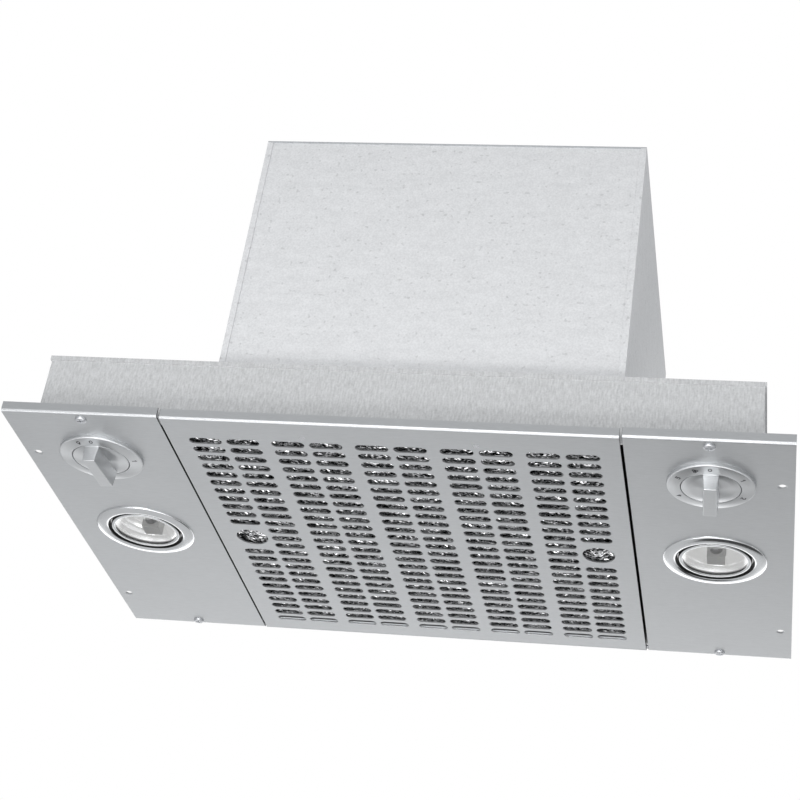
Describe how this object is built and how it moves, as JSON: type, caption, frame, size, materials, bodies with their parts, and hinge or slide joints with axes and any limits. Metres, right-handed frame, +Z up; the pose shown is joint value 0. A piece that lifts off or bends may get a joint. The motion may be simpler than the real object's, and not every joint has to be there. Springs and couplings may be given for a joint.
{
  "type": "range hood insert",
  "caption": "Flat under-cabinet range hood insert: slotted grille that swings down, two rotary controls, two recessed lamps, blower housing and round top duct collar.",
  "frame": {"origin": "centre of the four cabinet screw holes, in the upper face of the side margins that screws up against the cabinet", "axes": "+Z up, +X to the right and +Y to the rear for a cook standing in front; the face looks down"},
  "size_m": [0.543, 0.343, 0.3003],
  "materials": {
    "stainless_face": "satin stainless",
    "galvanised": "galvanised sheet, fine grain",
    "galvanised_light": "galvanised sheet, spangled",
    "chrome_trim": "polished",
    "turned_metal": "turned satin face",
    "reflector": "polished",
    "clear_glass": "clear",
    "ceramic": "unglazed ceramic",
    "foil": "bright crinkled foil",
    "aluminium_frame": "mill finish",
    "spring_steel": "plain",
    "zinc_plated": "bright zinc",
    "black_plastic": "moulded",
    "iron_stack": "laminated, varnished",
    "motor_cap": "zinc-plated pressing",
    "bronze": "sintered bronze"
  },
  "bodies": {
    "hood_body": {"left_face_panel": "stainless_face", "right_face_panel": "stainless_face", "rim_frame": "galvanised", "housing_wrap": "galvanised_light", "housing_front": "galvanised_light", "housing_top": "galvanised_light", "duct_collar": "galvanised", "damper_rod": "spring_steel", "scroll_wrap": "galvanised", "scroll_side_left": "galvanised", "scroll_side_right": "galvanised", "motor_bracket": "motor_cap", "motor_bell_inner": "motor_cap", "motor_bell_outer": "motor_cap", "motor_stator": "iron_stack", "motor_bearings": "bronze", "motor_bolts": "zinc_plated", "fan_switch": "black_plastic", "light_switch": "black_plastic", "switch_nuts": "zinc_plated", "fan_dial": "turned_metal", "light_dial": "turned_metal", "lamp_trim_left": "chrome_trim", "lamp_trim_right": "chrome_trim", "hinge_rod": "spring_steel", "wiring_box": "galvanised", "wiring_box_cover": "galvanised", "cable_bushing": "black_plastic", "face_screws": "zinc_plated", "clip_nuts": "spring_steel", "sheet_metal_screws": "zinc_plated", "left_deck": "galvanised", "right_deck": "galvanised", "housing_frame": "galvanised", "collar_flange": "galvanised", "lamp_reflectors": "reflector", "lamp_sockets": "ceramic", "lamp_bulbs": "clear_glass", "grille_catches": "spring_steel"},
    "grille": {"grille_panel": "stainless_face", "filter_frame": "aluminium_frame", "filter_mesh": "foil", "clip_rivets": "zinc_plated"},
    "left_turn_clip": {"filter_clip_left": "stainless_face"},
    "right_turn_clip": {"filter_clip_right": "stainless_face"},
    "fan_control": {"fan_knob": "turned_metal", "fan_shaft": "zinc_plated"},
    "light_control": {"light_knob": "turned_metal", "light_shaft": "zinc_plated"},
    "wheel": {"wheel_blades": "galvanised", "wheel_rings": "galvanised", "wheel_hub": "galvanised", "motor_shaft": "spring_steel", "motor_rotor": "iron_stack"},
    "front_flap": {"damper_flap_front": "aluminium_frame"},
    "rear_flap": {"damper_flap_rear": "aluminium_frame"},
    "left_lamp_glass": {"lens_ring_left": "chrome_trim", "lamp_lens_left": "clear_glass"},
    "right_lamp_glass": {"lens_ring_right": "chrome_trim", "lamp_lens_right": "clear_glass"}
  },
  "joints": [
    {"name": "grille_hinge", "type": "hinge", "parent": "hood_body", "child": "grille", "pos_m": [0, 0.1657, 0.0012], "axis": [1, 0, 0], "range_deg": [0, 90]},
    {"name": "left_clip_turn", "type": "hinge", "parent": "grille", "child": "left_turn_clip", "pos_m": [-0.06, -0.1545, 0.0093], "axis": [0, 0, 1], "range_deg": [0, 90]},
    {"name": "right_clip_turn", "type": "hinge", "parent": "grille", "child": "right_turn_clip", "pos_m": [0.06, -0.1545, 0.0093], "axis": [0, 0, -1], "range_deg": [0, 90]},
    {"name": "fan_knob_turn", "type": "hinge", "parent": "hood_body", "child": "fan_control", "pos_m": [0.2155, -0.1157, -0.001], "axis": [0, 0, 1], "range_deg": [0, 300]},
    {"name": "light_knob_turn", "type": "hinge", "parent": "hood_body", "child": "light_control", "pos_m": [-0.2155, -0.1157, -0.001], "axis": [0, 0, 1], "range_deg": [0, 180]},
    {"name": "wheel_spin", "type": "hinge", "parent": "hood_body", "child": "wheel", "pos_m": [0.0132, -0.042, 0.152], "axis": [1, 0, 0], "continuous": true},
    {"name": "front_flap_swing", "type": "hinge", "parent": "hood_body", "child": "front_flap", "pos_m": [0.0132, 0.0456, 0.2543], "axis": [-1, 0, 0], "range_deg": [0, 75]},
    {"name": "rear_flap_swing", "type": "hinge", "parent": "hood_body", "child": "rear_flap", "pos_m": [0.0132, 0.0456, 0.2543], "axis": [1, 0, 0], "range_deg": [0, 75]},
    {"name": "left_lamp_twist", "type": "hinge", "parent": "hood_body", "child": "left_lamp_glass", "pos_m": [-0.2155, -0.0003, -0.001], "axis": [0, 0, 1], "range_deg": [0, 25]},
    {"name": "right_lamp_twist", "type": "hinge", "parent": "hood_body", "child": "right_lamp_glass", "pos_m": [0.2155, -0.0003, -0.001], "axis": [0, 0, 1], "range_deg": [0, 25]}
  ]
}
